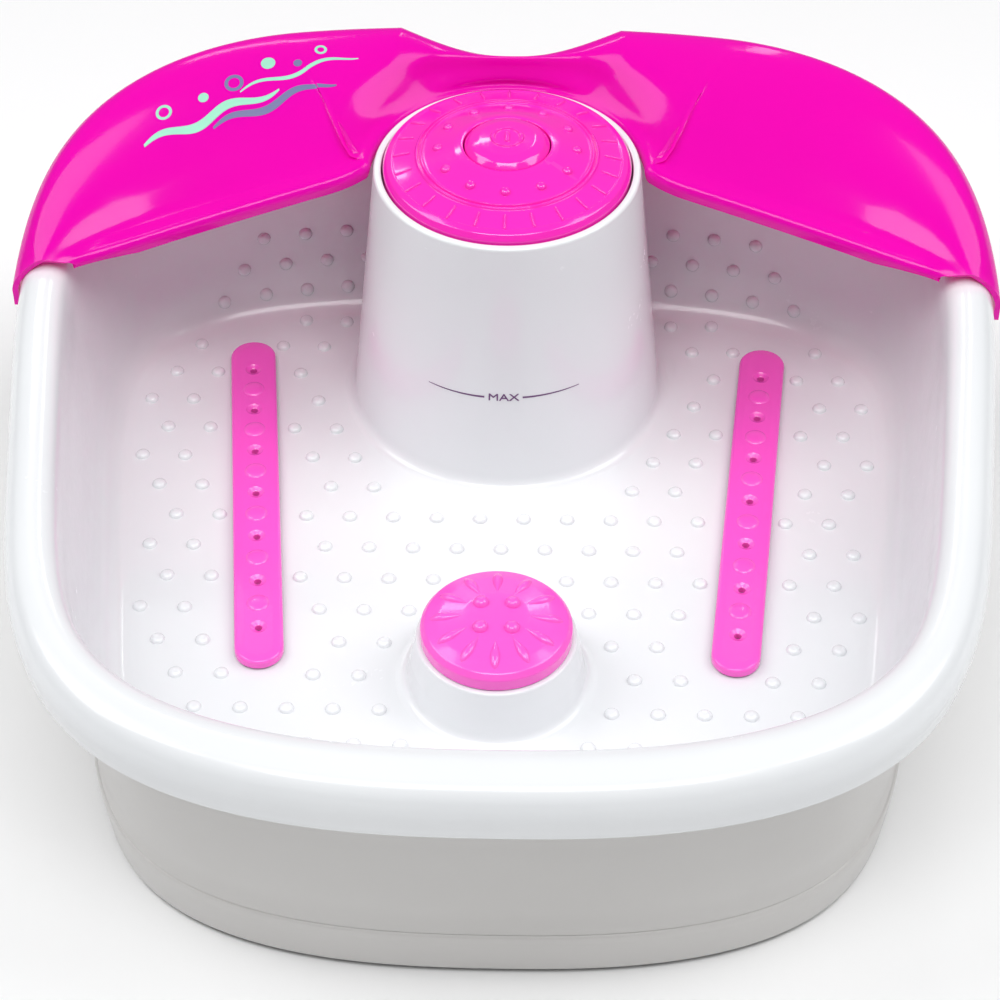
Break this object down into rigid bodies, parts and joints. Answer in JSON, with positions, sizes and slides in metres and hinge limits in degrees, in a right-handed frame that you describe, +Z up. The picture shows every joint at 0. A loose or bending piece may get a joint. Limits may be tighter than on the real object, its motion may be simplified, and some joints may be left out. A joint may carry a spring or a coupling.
{
  "type": "foot spa basin",
  "caption": "Tub for soaking and massaging both feet, with a control dial on a tower, bubble strips, a lift-off massage disc and a lift-off splash guard.",
  "frame": {"origin": "on the floor under the middle of the whole object's bounding box", "axes": "+X to the user's right as they sit facing the basin, +Y to the rear where the splash guard is, +Z up"},
  "size_m": [0.4054, 0.3993, 0.18],
  "materials": {
    "white_plastic": "moulded gloss white ABS",
    "pink_plastic": "moulded gloss magenta ABS",
    "strip_plastic": "moulded satin pink plastic",
    "rubber": "matt rubber",
    "steel": "bright zinc plated steel",
    "copper": "enamelled copper winding",
    "board_green": "solder mask over glass-filled resin",
    "black_plastic": "satin black nylon",
    "clear_hose": "soft translucent PVC"
  },
  "bodies": {
    "basin": {"air_hose_left": "clear_hose", "air_hose_pump": "clear_hose", "air_hose_right": "clear_hose", "air_tee": "white_plastic", "base_pan": "white_plastic", "base_screw_1": "steel", "base_screw_2": "steel", "base_screw_3": "steel", "base_screw_4": "steel", "base_screw_5": "steel", "base_screw_6": "steel", "board_screw_1": "steel", "board_screw_2": "steel", "board_screw_3": "steel", "bracket_screw_1": "steel", "bracket_screw_2": "steel", "bubble_strip_left": "strip_plastic", "bubble_strip_right": "strip_plastic", "button_spring": "steel", "capacitor": "copper", "control_board": "board_green", "cord_gland": "rubber", "dial_seal": "rubber", "heating_element": "steel", "mains_lead": "black_plastic", "motor_bracket": "steel", "motor_case": "steel", "motor_lead": "black_plastic", "motor_stator": "copper", "outer_shell": "white_plastic", "pump_bellows": "rubber", "pump_case": "black_plastic", "pump_coil": "copper", "pump_lead": "black_plastic", "pump_lid": "black_plastic", "pump_pivot_pin": "steel", "push_switch": "black_plastic", "relay": "black_plastic", "rubber_foot_1": "rubber", "rubber_foot_2": "rubber", "rubber_foot_3": "rubber", "rubber_foot_4": "rubber", "selector_switch": "black_plastic", "strip_seal_left": "rubber", "strip_seal_right": "rubber", "thermal_cutout": "steel", "tub": "white_plastic"},
    "dial": {"control_dial": "pink_plastic", "dial_clip": "steel", "selector_rotor": "black_plastic"},
    "button": {"power_button": "pink_plastic"},
    "guard": {"splash_guard": "pink_plastic"},
    "spindle": {"disc_spindle": "white_plastic"},
    "disc": {"massage_disc": "strip_plastic"},
    "rotor": {"motor_shaft": "steel", "motor_armature": "steel", "eccentric_weight_left": "steel", "eccentric_weight_right": "steel"},
    "rocker": {"pump_arm": "black_plastic", "pump_magnet": "steel"}
  },
  "joints": [
    {"name": "dial_turn", "type": "hinge", "parent": "basin", "child": "dial", "pos_m": [0, 0.1113, 0.16], "axis": [0, 0, 1], "range_deg": [0, 135]},
    {"name": "button_press", "type": "slide", "parent": "basin", "child": "button", "axis": [0, 0, -1], "range_m": [0, 0.0025], "stiffness_N_per_m": 400, "springref_m": -0.0006, "deforming": ["button_spring"]},
    {"name": "guard_lift", "type": "slide", "parent": "basin", "child": "guard", "axis": [0, 0, 1], "range_m": [0, 0.08]},
    {"name": "attachment_lift", "type": "slide", "parent": "basin", "child": "spindle", "axis": [0, 0, 1], "range_m": [0, 0.04]},
    {"name": "disc_spin", "type": "hinge", "parent": "spindle", "child": "disc", "pos_m": [0, -0.0637, 0.07], "axis": [0, 0, 1], "continuous": true},
    {"name": "rotor_spin", "type": "hinge", "parent": "basin", "child": "rotor", "pos_m": [0, -0.0077, 0.0253], "axis": [1, 0, 0], "continuous": true},
    {"name": "pump_rock", "type": "hinge", "parent": "basin", "child": "rocker", "pos_m": [-0.026, 0.0983, 0.022], "axis": [0, 1, 0], "range_deg": [-3, 3], "stiffness_Nm_per_rad": 0.6, "springref_deg": -0.23, "deforming": ["pump_bellows"]}
  ]
}
